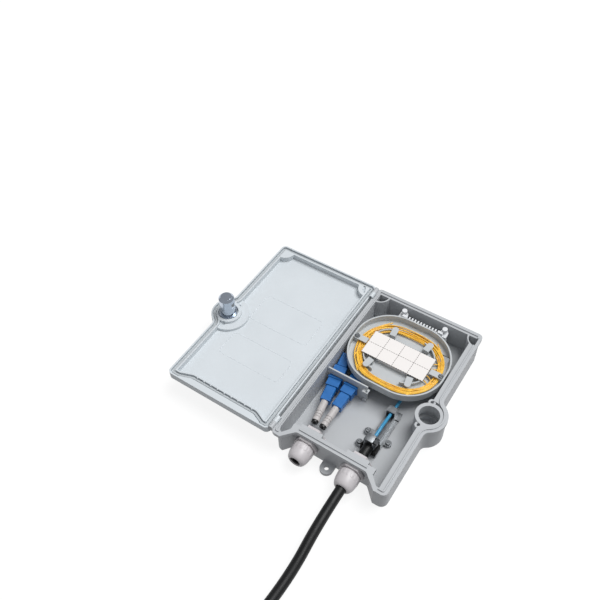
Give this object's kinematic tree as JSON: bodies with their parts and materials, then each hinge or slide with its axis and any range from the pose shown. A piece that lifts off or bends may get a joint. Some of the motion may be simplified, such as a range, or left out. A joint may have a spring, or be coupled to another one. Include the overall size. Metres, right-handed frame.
{
  "type": "fiber termination box",
  "caption": "Wall-mounted fibre termination box, lid open on its hinge, with splice tray, blue adapters and plugs, cable clamp, cable glands, barrel lock with key and a black feeder cable.",
  "frame": {"origin": "middle of the flat back face of the base, which lies on the wall or table", "axes": "+Z out of the wall, through the base's opening; +X from the hinge towards the lock; +Y away from the cable glands"},
  "size_m": [0.3377, 0.4799, 0.0538],
  "materials": {
    "abs_grey": "moulded, fine satin grain",
    "abs_lid": "moulded, fine satin grain",
    "tray_grey": "moulded satin",
    "nylon_grey": "moulded nylon",
    "rubber_grey": "moulded rubber",
    "rubber_black": "moulded rubber",
    "steel": "plated, satin",
    "chrome": "bright plated",
    "black_plastic": "moulded satin",
    "blue_plastic": "moulded gloss",
    "boot_white": "moulded satin",
    "ceramic": "polished zirconia",
    "card": "smooth card",
    "white_plastic": "moulded satin",
    "clear_sleeve": "shrunk clear tube",
    "fibre_yellow": "extruded fibre jacket",
    "tube_blue": "extruded tube",
    "sheath_black": "extruded sheath",
    "tie_black": "hook and loop tape"
  },
  "bodies": {
    "base": {"adapter_panel": "tray_grey", "base_shell": "abs_grey", "bracket_screws": "steel", "cable_bracket": "steel", "cable_cap": "rubber_black", "cable_comb": "white_plastic", "cable_inner": "sheath_black", "clamp_band": "steel", "clamp_saddle": "rubber_black", "coil_tie": "tie_black", "feeder_cable": "sheath_black", "feeder_coil": "sheath_black", "fibre_coil_inner": "fibre_yellow", "fibre_coil_outer": "fibre_yellow", "gland_body_1": "nylon_grey", "gland_body_2": "nylon_grey", "gland_locknut_1": "nylon_grey", "gland_locknut_2": "nylon_grey", "gland_seal_1": "rubber_black", "gland_seal_2": "rubber_black", "hinge_pin_far": "steel", "hinge_pin_near": "steel", "inner_boot_1": "boot_white", "inner_boot_2": "boot_white", "inner_plug_1": "blue_plastic", "inner_plug_2": "blue_plastic", "label_card": "card", "loose_tube": "tube_blue", "sc_adapter_1": "blue_plastic", "sc_adapter_2": "blue_plastic", "splice_holder": "white_plastic", "splice_sleeves": "clear_sleeve", "splice_tray": "tray_grey", "tray_pegs": "white_plastic", "tray_screws": "steel", "tube_clip": "steel"},
    "lid": {"lid_shell": "abs_lid", "lid_gasket": "rubber_grey", "lock_barrel": "chrome", "lock_nut": "chrome"},
    "lock_plug_body": {"lock_plug": "chrome"},
    "lock_bolt": {"lock_tongue": "steel"},
    "key": {"key_blade": "steel", "key_head": "black_plastic"},
    "gland_nut_left": {"gland_nut_1": "nylon_grey"},
    "gland_nut_right": {"gland_nut_2": "nylon_grey"},
    "plug_left": {"sc_plug_1": "blue_plastic", "sc_ferrule_1": "ceramic", "sc_boot_1": "boot_white", "boot_tail_1": "black_plastic"},
    "plug_right": {"sc_plug_2": "blue_plastic", "sc_ferrule_2": "ceramic", "sc_boot_2": "boot_white", "boot_tail_2": "black_plastic"},
    "clamp_worm": {"clamp_screw": "steel"}
  },
  "joints": [
    {"name": "lid_hinge", "type": "hinge", "parent": "base", "child": "lid", "pos_m": [-0.0615, 0, 0.03015], "axis": [0, 1, 0], "range_deg": [0, 180]},
    {"name": "lock_turn", "type": "hinge", "parent": "lid", "child": "lock_plug_body", "pos_m": [-0.178, -0.0095, 0.022], "axis": [0, 0, 1], "range_deg": [0, 90]},
    {"name": "bolt_throw", "type": "slide", "parent": "lid", "child": "lock_bolt", "axis": [1, 0, 0], "range_m": [0, 0.0028]},
    {"name": "key_pull", "type": "slide", "parent": "lock_plug_body", "child": "key", "axis": [0, 0, -1], "range_m": [0, 0.014]},
    {"name": "gland_nut_turn_left", "type": "hinge", "parent": "base", "child": "gland_nut_left", "pos_m": [-0.0285, -0.102, 0.015], "axis": [0, 1, 0], "range_deg": [0, 360]},
    {"name": "gland_nut_turn_right", "type": "hinge", "parent": "base", "child": "gland_nut_right", "pos_m": [0.0205, -0.102, 0.015], "axis": [0, 1, 0], "range_deg": [0, 360]},
    {"name": "plug_pull_left", "type": "slide", "parent": "base", "child": "plug_left", "axis": [0.1564, -0.9877, 0], "range_m": [0, 0.0095]},
    {"name": "plug_pull_right", "type": "slide", "parent": "base", "child": "plug_right", "axis": [0, -1, 0], "range_m": [0, 0.0095]},
    {"name": "clamp_screw_turn", "type": "hinge", "parent": "base", "child": "clamp_worm", "pos_m": [0.0205, -0.057, 0.0233], "axis": [1, 0, 0], "range_deg": [0, 360]}
  ],
  "couplings": [
    {"joint": "bolt_throw", "follows": "lock_turn", "m_per_rad": 0.0017807}
  ]
}
